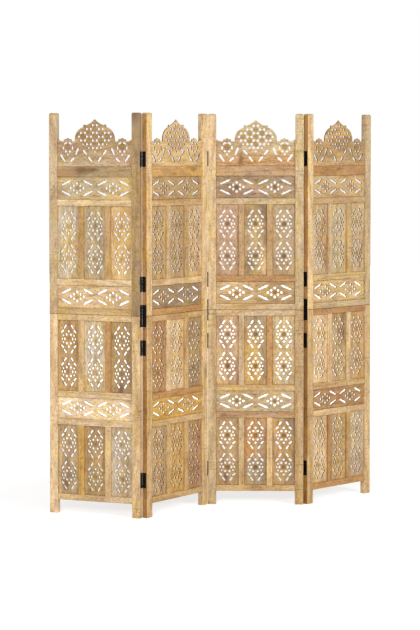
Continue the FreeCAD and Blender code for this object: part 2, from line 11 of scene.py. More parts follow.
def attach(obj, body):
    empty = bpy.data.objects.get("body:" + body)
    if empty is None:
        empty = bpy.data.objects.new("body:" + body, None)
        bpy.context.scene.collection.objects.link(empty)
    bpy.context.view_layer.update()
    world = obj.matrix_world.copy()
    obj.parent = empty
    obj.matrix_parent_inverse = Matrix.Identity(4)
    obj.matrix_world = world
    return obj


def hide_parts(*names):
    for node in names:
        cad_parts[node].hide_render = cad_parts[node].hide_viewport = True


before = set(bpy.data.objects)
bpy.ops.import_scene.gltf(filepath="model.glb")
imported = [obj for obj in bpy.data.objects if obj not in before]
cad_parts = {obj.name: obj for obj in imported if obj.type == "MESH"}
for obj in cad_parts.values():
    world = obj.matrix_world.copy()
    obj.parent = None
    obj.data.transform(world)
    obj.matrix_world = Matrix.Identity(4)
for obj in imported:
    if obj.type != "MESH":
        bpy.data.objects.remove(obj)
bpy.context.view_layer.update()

# The camera stands 8.3 m away, to the left and nearly as high as the top of the screen, with a long
# lens. Its shift keeps the whole screen in the picture.
camera = bpy.data.objects.new("camera", bpy.data.cameras.new("camera"))
camera.data.lens = 114.0
camera.data.shift_y = -0.15
camera.location = (-2.7517, -7.8581, 1.5236)
camera.rotation_euler = (math.radians(90 - 2.199), 0, math.radians(-18.909))
bpy.context.scene.collection.objects.link(camera)
bpy.context.scene.camera = camera
bpy.context.scene.view_settings.view_transform = "Standard"


def wire(tree, kind, sockets=None, **settings):
    """Adds a node, and fills its sockets with values or joins them to other nodes."""
    made = tree.nodes.new(kind)
    for key, value in settings.items():
        setattr(made, key, value)
    for key, value in (sockets or {}).items():
        if isinstance(value, bpy.types.NodeSocket):
            tree.links.new(value, made.inputs[key])
        else:
            made.inputs[key].default_value = value
    return made


def empty_material(name):
    """A material with nothing in it but its output."""
    material = bpy.data.materials.new(name)
    material.use_nodes = True
    material.node_tree.nodes.clear()
    output = material.node_tree.nodes.new("ShaderNodeOutputMaterial")
    return material, material.node_tree, output.inputs["Surface"]


# Studio: a flat white floor under the screen, two large soft lamps in front and an even sky.
floor_size = 15.0
floor_bm = bmesh.new()
bmesh.ops.create_grid(floor_bm, x_segments=1, y_segments=1, size=floor_size)
floor_mesh = bpy.data.meshes.new("floor")
floor_bm.to_mesh(floor_mesh)
floor_bm.free()
floor = bpy.data.objects.new("floor", floor_mesh)
bpy.context.scene.collection.objects.link(floor)
floor_paint, tree, surface = empty_material("white floor")
path = wire(tree, "ShaderNodeLightPath")
seen = wire(tree, "ShaderNodeMath", {0: path.outputs["Is Camera Ray"], 1: path.outputs["Is Glossy Ray"]},
            operation="MAXIMUM")
seen = wire(tree, "ShaderNodeMath", {0: seen.outputs[0], 1: path.outputs["Is Transmission Ray"]},
            operation="MAXIMUM")
matt = wire(tree, "ShaderNodeBsdfDiffuse", {"Color": (0.80, 0.80, 0.80, 1)})
there = wire(tree, "ShaderNodeTexCoord")
away = wire(tree, "ShaderNodeVectorMath", {0: there.outputs["Object"]}, operation="LENGTH")
lift = wire(tree, "ShaderNodeMapRange", {
    "Value": away.outputs["Value"], "From Min": 1.0, "From Max": 3.5, "To Min": 0.55, "To Max": 1.0})
lift = wire(tree, "ShaderNodeMath", {0: seen.outputs[0], 1: lift.outputs[0]}, operation="MULTIPLY")
glow = wire(tree, "ShaderNodeEmission", {"Color": (1, 1, 1, 1), "Strength": lift.outputs[0]})
both = wire(tree, "ShaderNodeAddShader", {0: matt.outputs[0], 1: glow.outputs[0]})
tree.links.new(both.outputs[0], surface)
floor_mesh.materials.append(floor_paint)

world = bpy.data.worlds.new("studio")
world.use_nodes = True
bpy.context.scene.world = world
tree = world.node_tree
tree.nodes.clear()
path = wire(tree, "ShaderNodeLightPath")
seen = wire(tree, "ShaderNodeMath", {0: path.outputs["Is Camera Ray"], 1: path.outputs["Is Glossy Ray"]},
            operation="MAXIMUM")
seen = wire(tree, "ShaderNodeMath", {0: seen.outputs[0], 1: path.outputs["Is Transmission Ray"]},
            operation="MAXIMUM")
strength = wire(tree, "ShaderNodeMapRange", {"Value": seen.outputs[0], "To Min": 0.45, "To Max": 1.0})
sky = wire(tree, "ShaderNodeBackground", {"Color": (1, 1, 1, 1), "Strength": strength.outputs[0]})
wire(tree, "ShaderNodeOutputWorld", {"Surface": sky.outputs[0]})

lamp_size = 1.6
lamp_aim = Vector((0, 0, 0.8))
for name, place, power in (("left lamp", (-3.4, -6.5, 2.8), 255.0), ("right lamp", (2.9, -6.3, 2.9), 208.0)):
    lamp = bpy.data.objects.new(name, bpy.data.lights.new(name, "AREA"))
    lamp.data.shape = "SQUARE"
    lamp.data.size = lamp_size
    lamp.data.energy = power
    lamp.location = place
    aim = lamp_aim - lamp.location
    lamp.rotation_euler = aim.to_track_quat("-Z", "Y").to_euler()
    bpy.context.scene.collection.objects.link(lamp)


# Posts: sixteen lengths of sawn mango wood, four to a panel, two on each side that meet at the split.
# Each has a tone of its own and faint marks of the saw across the grain. Their tops are end grain, and
# the side faces on the left, where the leaves lie, are browner and darker with painted shade.
panel_turns = {"panel_1": -39.4981, "panel_2": 33.3019, "panel_3": -20.1981, "panel_4": 25.7019}
panel_corners = {
    "panel_1": (-0.719126, 0.118157),
    "panel_2": (-0.379110, -0.139744),
    "panel_3": (-0.041665, 0.081595),
    "panel_4": (0.355877, -0.056619),
}
wood_tones = {
    "cream": (241, 217, 180),
    "pale_peach": (232, 203, 162),
    "sand": (225, 200, 162),
    "ash": (204, 189, 166),
    "straw": (218, 189, 145),
    "peach": (214, 176, 125),
    "light_tan": (205, 176, 133),
    "grey_beige": (199, 176, 142),
    "biscuit": (200, 171, 124),
    "oat": (192, 172, 137),
    "tan": (194, 162, 117),
    "brown_tan": (184, 155, 116),
    "dull_brown": (173, 145, 105),
    "olive_tan": (170, 149, 118),
    "ochre": (200, 161, 104),
    "honey": (206, 167, 96),
    "yellow": (216, 184, 122),
    "orange_brown": (186, 143, 94),
    "red_brown": (174, 134, 92),
    "mauve": (181, 150, 121),
    "dark_brown": (120, 88, 56),
    "grey_stain": (152, 130, 104),
    "rust": (200, 142, 78),
    # Painted shade for the walls of the holes
    "hole_wall_shade": (34, 18, 5),
}


def colour(name):
    """A named tone, from screen values to the values that light is worked out in."""
    return tuple((value / 255) ** 2.2 for value in wood_tones[name]) + (1.0,)


def shader_group(name, given, made):
    """A group with named inputs and outputs, and the sockets inside it."""
    group = bpy.data.node_groups.new(name, "ShaderNodeTree")
    for label, kind in given:
        group.interface.new_socket(label, in_out="INPUT", socket_type=kind)
    for label, kind in made:
        group.interface.new_socket(label, in_out="OUTPUT", socket_type=kind)
    return group, group.nodes.new("NodeGroupInput").outputs, group.nodes.new("NodeGroupOutput").inputs


def noise(tree, place, stretch, scale, detail=2.0, roughness=0.5):
    """Cloudy values over a place that is stretched first."""
    there = wire(tree, "ShaderNodeVectorMath", {0: place, 1: stretch}, operation="MULTIPLY")
    return wire(tree, "ShaderNodeTexNoise",
                {"Vector": there.outputs[0], "Scale": scale, "Detail": detail, "Roughness": roughness})


def spread(tree, value, low, high, to_low=0.0, to_high=1.0):
    """Brings one range of values to another, and holds what lies outside."""
    sockets = {"Value": value, "From Min": low, "From Max": high, "To Min": to_low, "To Max": to_high}
    return wire(tree, "ShaderNodeMapRange", sockets, clamp=True).outputs[0]


def blend(tree, factor, first, second, how="MIX"):
    """Mixes two colours."""
    mix = wire(tree, "ShaderNodeMix", {0: factor, 6: first, 7: second}, data_type="RGBA", blend_type=how)
    return mix.outputs[2]


def product(tree, first, second):
    return wire(tree, "ShaderNodeMath", {0: first, 1: second}, operation="MULTIPLY").outputs[0]


# Grain: growth bands, mottling, stains, fibres, pores, specks and saw marks. It runs along Z.
grain, given, result = shader_group(
    "mango grain",
    [("Place", "NodeSocketVector"), ("Tone", "NodeSocketColor"), ("Stain", "NodeSocketColor"),
     ("Stain Share", "NodeSocketFloat"), ("Saw Marks", "NodeSocketFloat")],
    [("Color", "NodeSocketColor"), ("Roughness", "NodeSocketFloat"), ("Height", "NodeSocketFloat")],
)
place = given["Place"]
drift = noise(grain, place, (1, 1, 0.3), 14.0, 2.0)
bend = wire(grain, "ShaderNodeVectorMath", {0: drift.outputs["Color"], 1: (0.02, 0.02, 0.02), 2: place},
            operation="MULTIPLY_ADD").outputs[0]
contour = noise(grain, bend, (1, 1, 0.13), 6.0, 1.0)
turns = product(grain, contour.outputs[0], 75.0)
bands = wire(grain, "ShaderNodeMath", {0: turns}, operation="SINE").outputs[0]
bands = spread(grain, bands, 0.1, 1.0)
stains = noise(grain, bend, (1, 1, 0.4), 13.0, 3.0, 0.6)
stains = product(grain, spread(grain, stains.outputs[0], 0.44, 0.64), given["Stain Share"])
mottle = noise(grain, bend, (1, 1, 0.28), 62.0, 3.0, 0.65).outputs[0]
speckle = noise(grain, place, (1, 1, 0.35), 200.0, 2.0, 0.6).outputs[0]
hue = noise(grain, bend, (1, 1, 0.5), 19.0, 2.0).outputs[0]
fibres = noise(grain, place, (1, 1, 0.035), 700.0, 2.0).outputs[0]
pores = noise(grain, place, (1, 1, 0.08), 1300.0, 1.0).outputs[0]
pores = spread(grain, pores, 0.62, 0.74)
sawn = noise(grain, place, (0.05, 0.05, 1), 190.0, 2.0).outputs[0]
patchy = noise(grain, place, (1, 1, 1), 9.0, 1.0).outputs[0]
sawn = product(grain, spread(grain, sawn, 0.54, 0.68), spread(grain, patchy, 0.42, 0.56))
sawn = product(grain, sawn, given["Saw Marks"])
dots = wire(grain, "ShaderNodeTexVoronoi", {"Vector": place, "Scale": 42.0}).outputs["Distance"]
dots = spread(grain, dots, 0.05, 0.11, 1.0, 0.0)

shade = blend(grain, stains, given["Tone"], given["Stain"])
shade = blend(grain, spread(grain, hue, 0.50, 0.63, 0.0, 0.95), shade, (1.03, 1.00, 0.80, 1), "MULTIPLY")
shade = blend(grain, spread(grain, hue, 0.50, 0.37, 0.0, 0.95), shade, (0.97, 0.93, 0.92, 1), "MULTIPLY")
shade = blend(grain, product(grain, bands, 0.60), shade, (0.76, 0.69, 0.60, 1), "MULTIPLY")
shade = blend(grain, spread(grain, mottle, 0.53, 0.70, 0.0, 0.85), shade, (0.74, 0.67, 0.58, 1), "MULTIPLY")
shade = blend(grain, spread(grain, mottle, 0.50, 0.34, 0.0, 0.75), shade, (1.24, 1.23, 1.22, 1), "MULTIPLY")
shade = blend(grain, spread(grain, speckle, 0.53, 0.66, 0.0, 0.90), shade, (0.70, 0.62, 0.53, 1), "MULTIPLY")
shade = blend(grain, spread(grain, speckle, 0.48, 0.36, 0.0, 0.70), shade, (1.24, 1.24, 1.22, 1), "MULTIPLY")
shade = blend(grain, spread(grain, fibres, 0.35, 0.70, 0.0, 0.45), shade, (0.82, 0.77, 0.70, 1), "MULTIPLY")
shade = blend(grain, product(grain, pores, 0.45), shade, (0.50, 0.40, 0.31, 1), "MULTIPLY")
shade = blend(grain, product(grain, sawn, 0.75), shade, (0.60, 0.51, 0.43, 1), "MULTIPLY")
shade = blend(grain, product(grain, dots, 0.55), shade, (0.45, 0.32, 0.22, 1), "MULTIPLY")
grain.links.new(shade, result["Color"])
grain.links.new(spread(grain, fibres, 0.3, 0.7, 0.52, 0.68), result["Roughness"])
relief = wire(grain, "ShaderNodeMath", {0: fibres, 1: product(grain, pores, 0.8)}, operation="SUBTRACT")
relief = wire(grain, "ShaderNodeMath", {0: relief.outputs[0], 1: sawn}, operation="SUBTRACT")
grain.links.new(relief.outputs[0], result["Height"])

# Knots and stained spots: dark at the heart, with a wavering edge.
spot, given, result = shader_group(
    "spot", [("Offset", "NodeSocketVector"), ("Size", "NodeSocketFloat")], [("Mask", "NodeSocketFloat")])
wander = noise(spot, given["Offset"], (1, 1, 0.6), 70.0, 2.0)
wander = wire(spot, "ShaderNodeVectorMath", {0: wander.outputs["Color"], 1: (0.5, 0.5, 0.5)},
              operation="SUBTRACT")
near = wire(spot, "ShaderNodeVectorMath", {0: wander.outputs[0], 1: (0.02, 0.0, 0.03), 2: given["Offset"]},
            operation="MULTIPLY_ADD")
near = wire(spot, "ShaderNodeVectorMath", {0: near.outputs[0], 1: (1, 0.2, 0.45)}, operation="MULTIPLY")
reach = wire(spot, "ShaderNodeVectorMath", {0: near.outputs[0]}, operation="LENGTH").outputs["Value"]
reach = wire(spot, "ShaderNodeMath", {0: reach, 1: given["Size"]}, operation="DIVIDE").outputs[0]
spot.links.new(spread(spot, reach, 0.25, 1.0, 1.0, 0.0), result["Mask"])


def panel_frame(tree, panel):
    """Places in the panel's own frame: X across it, Y into it, Z up."""
    turn = Matrix.Rotation(math.radians(-panel_turns[panel]), 3, "Z")
    corner = turn @ Vector((*panel_corners[panel], 0.0))
    there = wire(tree, "ShaderNodeTexCoord").outputs["Object"]
    mapping = {"Vector": there, "Location": -corner, "Rotation": (0, 0, math.radians(-panel_turns[panel]))}
    return wire(tree, "ShaderNodeMapping", mapping).outputs[0]


def finish_wood(tree, surface, shade, grained):
    """The shader of all the wood: raw, sanded and lightly sealed."""
    bump = wire(tree, "ShaderNodeBump",
                {"Strength": 0.5, "Distance": 0.0008, "Height": grained.outputs["Height"]})
    shader = wire(tree, "ShaderNodeBsdfPrincipled", {
        "Base Color": shade, "Roughness": grained.outputs["Roughness"], "Normal": bump.outputs[0],
        "Specular IOR Level": 0.25})
    tree.links.new(shader.outputs[0], surface)


def wood_spots(tree, shade, place, spots):
    """Lays knots and stains over a wood colour: (place, size, tone, strength) each."""
    for middle, size, tone, strength in spots:
        offset = wire(tree, "ShaderNodeVectorMath", {0: place, 1: middle}, operation="SUBTRACT").outputs[0]
        mask = wire(tree, "ShaderNodeGroup", {}, node_tree=spot)
        tree.links.new(offset, mask.inputs["Offset"])
        mask.inputs["Size"].default_value = size
        shade = blend(tree, product(tree, mask.outputs[0], strength), shade, colour(tone))
    return shade


def grained_wood(tree, place, tone, stain, share, saw_marks):
    """The grain group at a place, with its tones."""
    node = wire(tree, "ShaderNodeGroup", {}, node_tree=grain)
    tree.links.new(place, node.inputs["Place"])
    for label, value in (("Tone", tone), ("Stain", stain), ("Stain Share", share), ("Saw Marks", saw_marks)):
        if isinstance(value, bpy.types.NodeSocket):
            tree.links.new(value, node.inputs[label])
        else:
            node.inputs[label].default_value = value
    return node


def seam(tree, shade, value, place, reach):
    """Darkens the wood on both sides of a joint, where the value passes the place."""
    away = wire(tree, "ShaderNodeMath", {0: value, 1: place}, operation="SUBTRACT").outputs[0]
    away = wire(tree, "ShaderNodeMath", {0: away}, operation="ABSOLUTE").outputs[0]
    mask = spread(tree, away, 0.4 * reach, reach, 0.85, 0.0)
    return blend(tree, mask, shade, (0.30, 0.20, 0.13, 1), "MULTIPLY")


split_height = 0.825
split_line = 0.0018
# How far from the left side face the painted shade reaches
side_shade_reach = 0.0008
top_height = 1.650
end_grain_depth = 0.009
# Stains: (across the panel, into the wood, height), size, tone, strength
post_spots = {
    "panel_1_upper_right_post": (((0.385, 0, 1.642), 0.050, "grey_stain", 1.0),
                                 ((0.380, 0, 1.655), 0.030, "dark_brown", 0.7)),
}
# Tone, stain, how much of it, and how strong the saw marks are
post_finish = {
    "panel_1_lower_left_post": ("pale_peach", "straw", 0.6, 0.5),
    "panel_1_lower_right_post": ("straw", "tan", 0.6, 1.0),
    "panel_1_upper_left_post": ("grey_beige", "light_tan", 0.7, 0.5),
    "panel_1_upper_right_post": ("dull_brown", "grey_stain", 0.8, 0.7),
    "panel_2_lower_left_post": ("tan", "straw", 0.5, 0.6),
    "panel_2_lower_right_post": ("straw", "dull_brown", 0.6, 1.0),
    "panel_2_upper_left_post": ("straw", "peach", 0.6, 0.5),
    "panel_2_upper_right_post": ("straw", "straw", 0.6, 0.5),
    "panel_3_lower_left_post": ("oat", "tan", 0.5, 0.8),
    "panel_3_lower_right_post": ("brown_tan", "tan", 0.7, 1.0),
    "panel_3_upper_left_post": ("grey_beige", "straw", 0.7, 0.5),
    "panel_3_upper_right_post": ("oat", "light_tan", 0.6, 0.8),
    "panel_4_lower_left_post": ("tan", "straw", 0.6, 0.5),
    "panel_4_lower_right_post": ("straw", "light_tan", 0.6, 0.7),
    "panel_4_upper_left_post": ("straw", "straw", 0.6, 0.4),
    "panel_4_upper_right_post": ("oat", "light_tan", 0.6, 0.7),
}
for order, (name, (tone, stain, share, saw_marks)) in enumerate(post_finish.items()):
    material, tree, surface = empty_material(name.replace("_", " "))
    place = panel_frame(tree, name[:7])
    parts = wire(tree, "ShaderNodeSeparateXYZ", {0: place}).outputs
    shift = (0.31 * order, 0.57 * order, 0.83 * order)
    moved = wire(tree, "ShaderNodeVectorMath", {0: place, 1: shift}, operation="ADD").outputs[0]
    grained = grained_wood(tree, moved, colour(tone), colour(stain), share, saw_marks)
    shade = wood_spots(tree, grained.outputs["Color"], place, post_spots.get(name, ()))
    end_grain = spread(tree, parts["Z"], top_height - end_grain_depth, top_height, 0.0, 0.7)
    shade = blend(tree, end_grain, shade, (0.66, 0.62, 0.58, 1), "MULTIPLY")
    # Painted shade: the outer side face of each left post, in the notch of the fold, is darkened and browned
    if "left_post" in name:
        side = spread(tree, parts["X"], side_shade_reach, 0.5 * side_shade_reach)
        shade = blend(tree, side, shade, (0.66, 0.52, 0.36, 1), "MULTIPLY")
    shade = seam(tree, shade, parts["Z"], split_height, split_line)
    finish_wood(tree, surface, shade, grained)
    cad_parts[name].data.materials.clear()
    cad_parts[name].data.materials.append(material)


# Rails: eight to a panel between the posts, with the grain along them. They share a node in each frame,
# so their tones follow their height. Two dowels stand in the rails at the split.
rail_tones = {
    "panel_1": ("sand", "sand", "sand", "straw", "biscuit", "sand", "sand", "olive_tan"),
    "panel_2": ("tan", "light_tan", "orange_brown", "tan", "orange_brown", "straw", "tan", "ochre"),
    "panel_3": ("biscuit", "mauve", "biscuit", "grey_beige", "grey_beige", "red_brown", "oat", "mauve"),
    "panel_4": ("orange_brown", "straw", "tan", "red_brown", "oat", "biscuit", "brown_tan", "red_brown"),
}
rail_bounds = (0.22, 0.44, 0.65, 0.825, 0.90, 1.12, 1.33)
panel_width = 0.403
post_width = 0.035
joint_line = 0.0016
# Knots and stains, in the rails' lying frame: (height, into the wood, across the panel) first
rail_spots = {
    "panel_1": (((1.402, 0, 0.07), 0.030, "red_brown", 0.8), ((1.415, 0, 0.15), 0.024, "dark_brown", 0.9),
                ((1.418, 0, 0.20), 0.014, "dark_brown", 0.9)),
    "panel_2": (((1.412, 0, 0.13), 0.020, "red_brown", 0.9), ((1.402, 0, 0.24), 0.016, "red_brown", 0.9),
                ((1.418, 0, 0.31), 0.013, "dark_brown", 0.5), ((1.400, 0, 0.18), 0.010, "dark_brown", 0.5)),
    "panel_3": (((1.283, 0, 0.11), 0.012, "red_brown", 0.7), ((0.380, 0, 0.07), 0.010, "dark_brown", 0.7)),
    "panel_4": (((1.418, 0, 0.20), 0.012, "dark_brown", 0.7), ((1.402, 0, 0.10), 0.010, "dark_brown", 0.5)),
}


def tones_by(tree, value, bounds, tones):
    """Steps from one tone to the next where a value passes each bound."""
    ramp = wire(tree, "ShaderNodeValToRGB", {0: value})
    steps = ramp.color_ramp
    steps.interpolation = "CONSTANT"
    steps.elements[0].color = colour(tones[0])
    steps.elements[1].position = bounds[0]
    steps.elements[1].color = colour(tones[1])
    for bound, tone in zip(bounds[1:], tones[2:]):
        steps.elements.new(bound).color = colour(tone)
    return ramp.outputs[0]


for order, (panel, tones) in enumerate(rail_tones.items()):
    material, tree, surface = empty_material(panel.replace("_", " ") + " rails")
    place = panel_frame(tree, panel)
    height = wire(tree, "ShaderNodeSeparateXYZ", {0: place}).outputs["Z"]
    height = product(tree, height, 1 / top_height)
    tone = tones_by(tree, height, [bound / top_height for bound in rail_bounds], tones)
    parts = wire(tree, "ShaderNodeSeparateXYZ", {0: place}).outputs
    lying = wire(tree, "ShaderNodeCombineXYZ", {0: parts["Z"], 1: parts["Y"], 2: parts["X"]}).outputs[0]
    moved = wire(tree, "ShaderNodeVectorMath", {0: lying, 1: (2.4 + order, 0.3 * order, 0)}, operation="ADD")
    grained = grained_wood(tree, moved.outputs[0], tone, colour("red_brown"), 0.45, 0.35)
    shade = wood_spots(tree, grained.outputs["Color"], lying, rail_spots[panel])
    shade = seam(tree, shade, parts["X"], post_width, joint_line)
    shade = seam(tree, shade, parts["X"], panel_width - post_width, joint_line)
    shade = seam(tree, shade, parts["Z"], split_height, split_line)
    finish_wood(tree, surface, shade, grained)
    for part in ("lower_rails", "upper_rails", "dowels"):
        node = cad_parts[panel + "_" + part]
        node.data.materials.clear()
        node.data.materials.append(material)


# Mullions: plain uprights between the slats, six to a panel, each cut from another board.
mullion_tones = {
    "panel_1": ("honey", "straw", "tan", "straw", "orange_brown", "tan"),
    "panel_2": ("biscuit", "sand", "grey_beige", "biscuit", "biscuit", "brown_tan"),
    "panel_3": ("grey_beige", "grey_beige", "brown_tan", "straw", "orange_brown", "brown_tan"),
    "panel_4": ("red_brown", "straw", "grey_beige", "tan", "sand", "biscuit"),
}
mullion_bounds = (0.43, 0.9)
for order, (panel, tones) in enumerate(mullion_tones.items()):
    material, tree, surface = empty_material(panel.replace("_", " ") + " mullions")
    place = panel_frame(tree, panel)
    parts = wire(tree, "ShaderNodeSeparateXYZ", {0: place})
    right = wire(tree, "ShaderNodeMath", {0: parts.outputs["X"], 1: panel_width / 2},
                 operation="GREATER_THAN").outputs[0]
    height = product(tree, parts.outputs["Z"], 0.5 / top_height)
    value = wire(tree, "ShaderNodeMath", {0: right, 1: 0.5, 2: height}, operation="MULTIPLY_ADD").outputs[0]
    low, high = (bound * 0.5 / top_height for bound in mullion_bounds)
    tone = tones_by(tree, value, (low, high, 0.5, 0.5 + low, 0.5 + high), tones)
    moved = wire(tree, "ShaderNodeVectorMath", {0: place, 1: (3.3 + order, 0.7, 1.9)}, operation="ADD")
    grained = grained_wood(tree, moved.outputs[0], tone, colour("red_brown"), 0.4, 0.6)
    finish_wood(tree, surface, grained.outputs["Color"], grained)
    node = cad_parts[panel + "_mullions"]
    node.data.materials.clear()
    node.data.materials.append(material)


# Carved slats: thirty-six upright boards, each pierced with two units of holes and slashes about a
# flower, worked by hand from both faces. Every edge of a hole is eased with a file.
board_thickness = 0.005
board_recess = 0.007
tongue = 0.005
rim = 0.0004
dark_depth = 0.0005
# How far the painted shade reaches in from the frame
frame_shade_width = 0.004
slat_width = 0.095
unit_pitch = 0.135
slat_slash_width = 0.0080
slat_holes = (
    (0.185, 0, 0.084, 0.096),
    (0.100, 0.133, 0.104, 0.072),
    (0, 0.235, 0.102, 0.073),
    (0.310, 0, 0.074, 0.068),
    (0.250, 0.100, 0.076, 0.060),
)
slat_slashes = ((0.220, 0.315, 0.092, 0.437), (0.360, 0.185, 0.215, 0.274))
slash_outline = (
    (0, 0), (0.08, 0.42), (0.28, 0.34), (0.34, 0.58), (0.52, 0.42), (0.60, 0.62), (0.84, 0.46),
    (1, 0.10), (0.82, -0.24), (0.68, -0.60), (0.58, -0.34), (0.34, -0.40), (0.12, -0.36),
)
flower_rings = ((0.09, 1.0, 0.0), (0.09, 1.0, 0.65), (0.24, 1.2, 0.9), (0.26, 1.2, 0.7), (0.12, 1.3, 0.0))
flower_depth = 0.0010
flower_petals = 8
slat_flower = 0.0100
gouge_depth = 0.0011


def board_mesh():
    """An empty board with the values that its wood will read."""
    bm = bmesh.new()
    for name in ("cut", "flower"):
        bm.verts.layers.float.new(name)
    for name in ("place", "knot", "inset", "edges"):
        bm.verts.layers.float_vector.new(name)
    for name in ("tone", "stain"):
        bm.verts.layers.float_color.new(name)
    return bm


def cap(bm, points):
    """A flat face through points, turned to the front."""
    face = bm.faces.new([bm.verts.new((x, y, 0)) for x, y in points])
    face.normal_update()
    if face.normal.z < 0:
        face.normal_flip()
    return face


def disc(bm, x, y, width, height, sides):
    """A flat round face, turned to the front."""
    shape = Matrix.Translation((x, y, 0)) @ Matrix.Diagonal((width / 2, height / 2, 1, 1))
    made = bmesh.ops.create_circle(bm, cap_ends=True, cap_tris=False, segments=sides, radius=1, matrix=shape)
    face = made["verts"][0].link_faces[0]
    face.normal_update()
    if face.normal.z < 0:
        face.normal_flip()
    return face


def round_hole(bm, x, y, width, height):
    return disc(bm, x, y, width + 2 * rim, height + 2 * rim, 12)


def slash(bm, start, end, width, side):
    """A barbed slash from start to end, with its rim; its taller barbs lie on one side."""
    along = Vector(end) - Vector(start)
    start = Vector(start) - along.normalized() * 1.6 * rim
    along = along + along.normalized() * 3.2 * rim
    across = Vector((-along.y, along.x)).normalized() * side * (width + 2.4 * rim)
    return cap(bm, [start + along * run + across * rise for run, rise in slash_outline])


def both_ways(x, y):
    return [(a, b) for a in ((x, -x) if x else (x,)) for b in ((y, -y) if y else (y,))]


def unit(bm, middle, span, holes, slashes, slash_width):
    """The holes and slashes of one unit of a slat or frieze."""
    faces = []
    for x, y, width, height in holes:
        for a, b in both_ways(x * span[0], y * span[1]):
            faces.append(round_hole(bm, middle[0] + a, middle[1] + b, width * span[0], height * span[1]))
    for x0, y0, x1, y1 in slashes:
        for a, b in ((1, 1), (1, -1), (-1, 1), (-1, -1)):
            start = (middle[0] + a * x0 * span[0], middle[1] + b * y0 * span[1])
            end = (middle[0] + a * x1 * span[0], middle[1] + b * y1 * span[1])
            faces.append(slash(bm, start, end, slash_width, -a * b))
    return faces


def flower(bm, x, y, radius, painted_shade):
    """A carved flower in a ring: petals that rise between cuts, about a small boss. Its hollow gets painted
    shade.
    """
    face = disc(bm, x, y, 2 * radius, 2 * radius, 3 * flower_petals)
    layer = bm.verts.layers.float["flower"]
    for width, depth, rise in flower_rings:
        bmesh.ops.inset_region(bm, faces=[face], thickness=width * radius, depth=0, use_boundary=True)
        for vert in face.verts:
            turn = math.atan2(vert.co.y - y, vert.co.x - x) / math.tau * flower_petals
            lift = math.sin(math.pi * (turn % 1.0))
            vert.co.z = -flower_depth * (depth - rise * lift)
            vert[layer] = painted_shade
    poked = bmesh.ops.poke(bm, faces=[face])
    poked["verts"][0].co.z = -0.3 * flower_depth
    poked["verts"][0][layer] = 0.4 * painted_shade


def gouge(bm, x, y, width, height, turn):
    """One short cut of a gouge, deepest in its middle."""
    face = disc(bm, 0, 0, width, height, 8)
    turned = Matrix.Translation((x, y, 0)) @ Matrix.Rotation(turn, 4, "Z")
    bmesh.ops.transform(bm, verts=list(face.verts), matrix=turned)
    poked = bmesh.ops.poke(bm, faces=[face])
    poked["verts"][0].co.z = -gouge_depth


def carved_board(bm, outline, holes, edges, name):
    """Cuts the holes with eased rims in one half of the board, closes its face and mirrors it.

    The edges are half the width and height of its opening, and the height of the opening's middle; the band
    of painted shade along the frame is measured from them.
    """
    bmesh.ops.inset_region(bm, faces=[outline], thickness=rim, depth=0,
                           use_boundary=True, use_even_offset=True)
    inner = set(outline.verts)
    ring = {vert for face in bm.faces for vert in face.verts if inner & set(face.verts)} - inner
    for vert in ring:
        vert.co.z = -rim
    bmesh.ops.delete(bm, geom=[outline], context="FACES_ONLY")
    sides = [e for e in bm.edges if len(e.link_faces) == 1 and all(v in ring for v in e.verts)]
    skirt = bmesh.ops.extrude_edge_only(bm, edges=sides)
    for vert in skirt["geom"]:
        if isinstance(vert, bmesh.types.BMVert):
            vert.co.z = -board_thickness / 2
    bmesh.ops.inset_region(bm, faces=holes, thickness=rim, depth=-rim,
                           use_boundary=True, use_even_offset=True)
    walls = bmesh.ops.extrude_face_region(bm, geom=holes)
    ends = [item for item in walls["geom"] if isinstance(item, bmesh.types.BMFace)]
    for vert in {vert for face in ends for vert in face.verts}:
        vert.co.z = -board_thickness / 2
    bmesh.ops.delete(bm, geom=ends + holes, context="FACES_ONLY")
    front = [e for e in bm.edges if len(e.link_faces) == 1 and all(abs(v.co.z) < 1e-7 for v in e.verts)]
    bmesh.ops.triangle_fill(bm, edges=front, use_beauty=True, normal=(0, 0, 1))
    middle = Matrix.Translation((0, 0, board_thickness / 2))
    whole = bm.verts[:] + bm.edges[:] + bm.faces[:]
    bmesh.ops.mirror(bm, geom=whole, matrix=middle, merge_dist=1e-5, axis="Z")
    bmesh.ops.remove_doubles(bm, verts=bm.verts[:], dist=1e-6)
    bmesh.ops.recalc_face_normals(bm, faces=bm.faces[:])
    cut, carved = bm.verts.layers.float["cut"], bm.verts.layers.float["flower"]
    layers = bm.verts.layers.float_vector
    for vert in bm.verts:
        # Painted shade on the hole walls, deepening over the first half millimetre into the board; none in
        # the flowers
        depth = min(-vert.co.z, board_thickness + vert.co.z)
        vert[cut] = 0.0 if vert[carved] else min(1.0, depth / dark_depth)
        vert[layers["inset"]] = (vert.co.x, vert.co.y - edges[2], 0)
        vert[layers["edges"]] = (edges[0], edges[1], 1)
    mesh = bpy.data.meshes.new(name)
    bm.to_mesh(mesh)
    bm.free()
    return mesh


def rectangle(bm, width, height):
    x, y = width / 2, height / 2
    return cap(bm, ((-x, -y), (x, -y), (x, y), (-x, y)))


def slat_shape(height):
    bm = board_mesh()
    outline = rectangle(bm, slat_width + 2 * tongue, height + 2 * tongue)
    holes = []
    for side in (-1, 1):
        middle = (0.0, side * unit_pitch / 2)
        holes += unit(bm, middle, (slat_width, unit_pitch), slat_holes, slat_slashes, slat_slash_width)
        flower(bm, *middle, slat_flower, 1.0)
    return carved_board(bm, outline, holes, (slat_width / 2, height / 2, 0), "slat shape")


# Wood of the carved boards: each board brings its tone, its stain and its place in the grain with it.
knot_size = 0.016
board_wood, tree, surface = empty_material("carved board wood")


def carried(tree, name):
    return wire(tree, "ShaderNodeAttribute", attribute_name=name)


